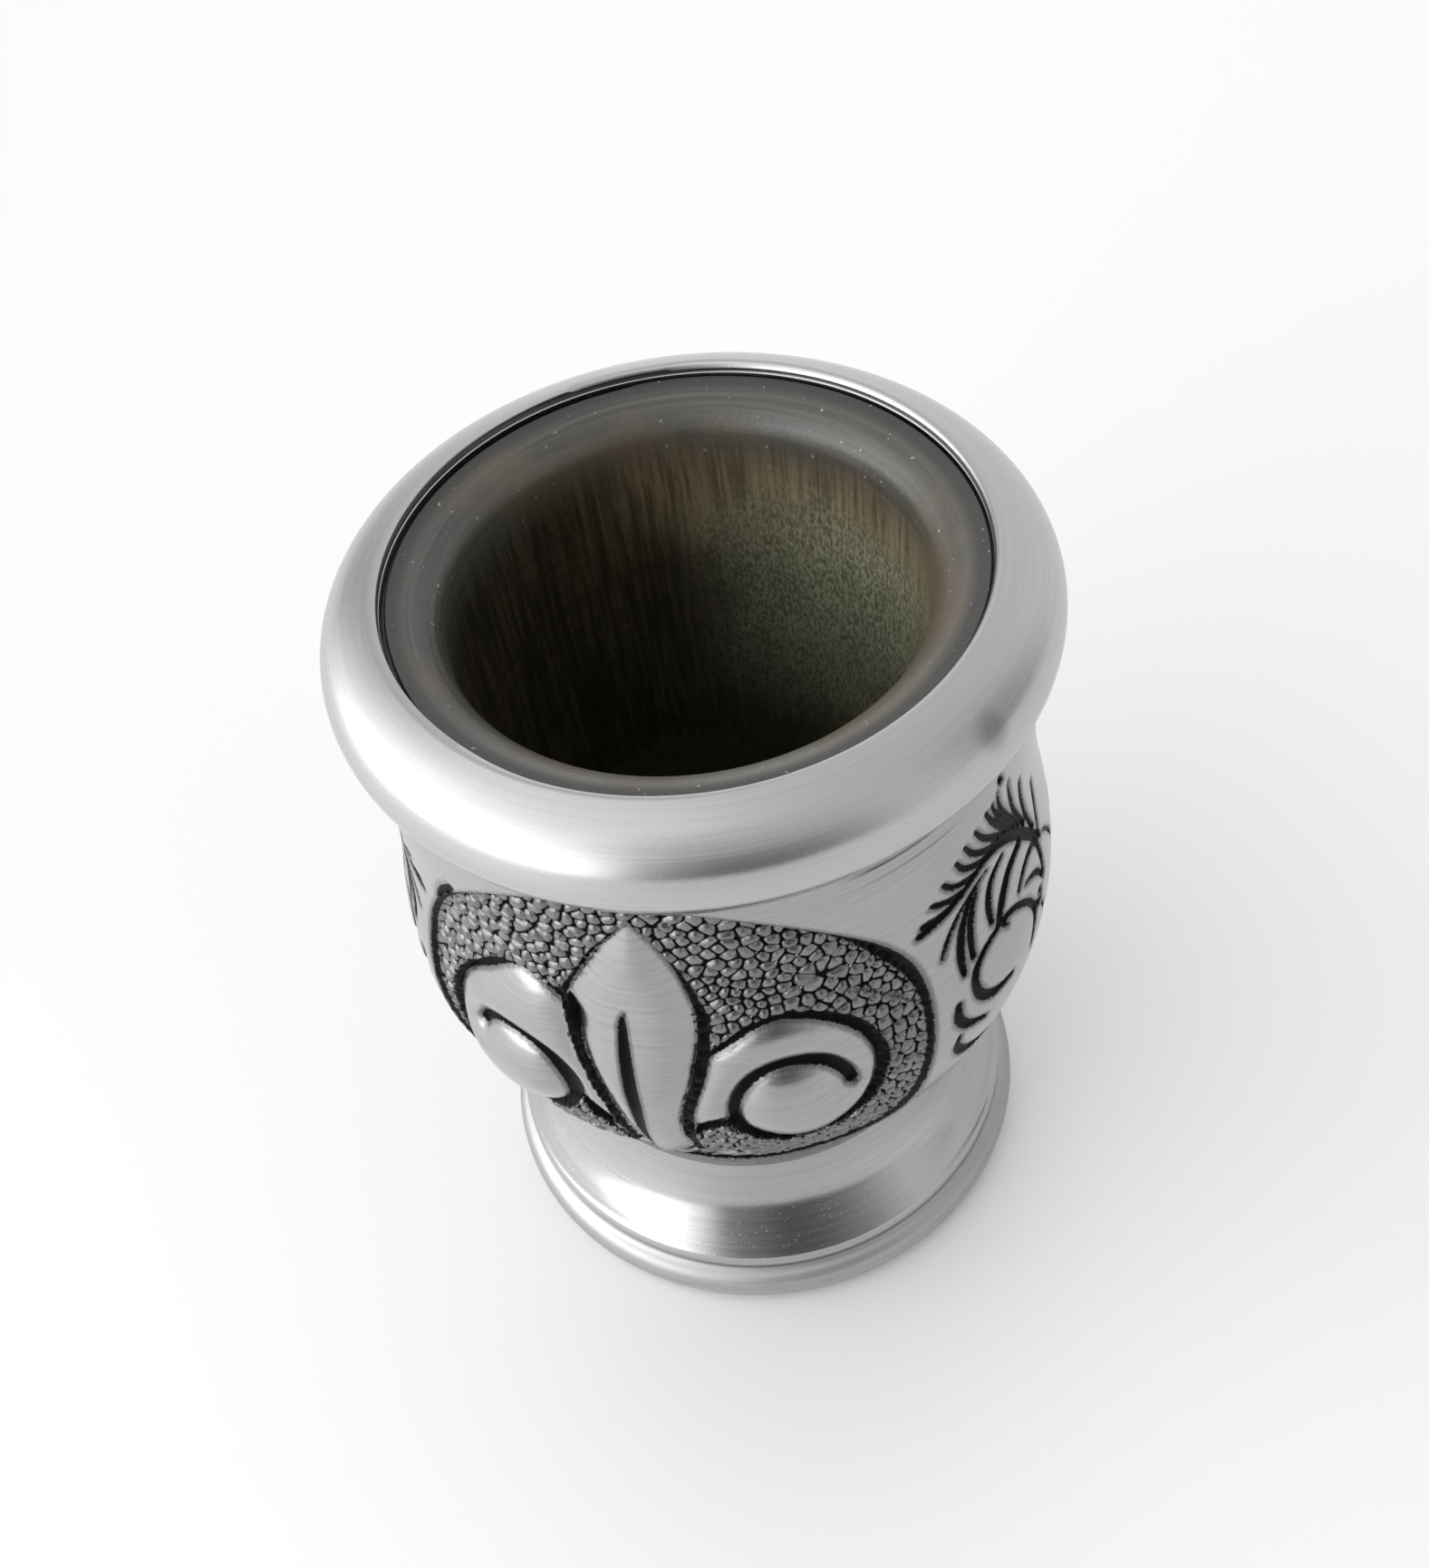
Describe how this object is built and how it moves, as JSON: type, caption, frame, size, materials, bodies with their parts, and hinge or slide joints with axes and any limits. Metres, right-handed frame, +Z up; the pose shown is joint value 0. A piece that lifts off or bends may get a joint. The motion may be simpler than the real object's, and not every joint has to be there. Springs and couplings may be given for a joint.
{
  "type": "mate cup",
  "caption": "Footed mate cup: a turned wooden cup clad in aluminium, with a half-round rim collar, a barrel body chased with a fleur-de-lis, and a flared pedestal foot.",
  "frame": {"origin": "centre of the foot's underside, on the table", "axes": "+Z up along the cup's axis; -Y towards the viewer of the picture, with the chased medallion 20 degrees to the left of it"},
  "size_m": [0.08, 0.08, 0.1035],
  "materials": {
    "wood": "turned, oiled and stained by use",
    "satin_aluminium": "satin, brushed round the axis, dark in the chased lines",
    "polished_aluminium": "polished"
  },
  "bodies": {
    "root": {"wood_cup": "wood", "rim_collar": "satin_aluminium", "body_jacket": "satin_aluminium", "foot_shell": "polished_aluminium", "base_disc": "satin_aluminium"}
  },
  "joints": []
}
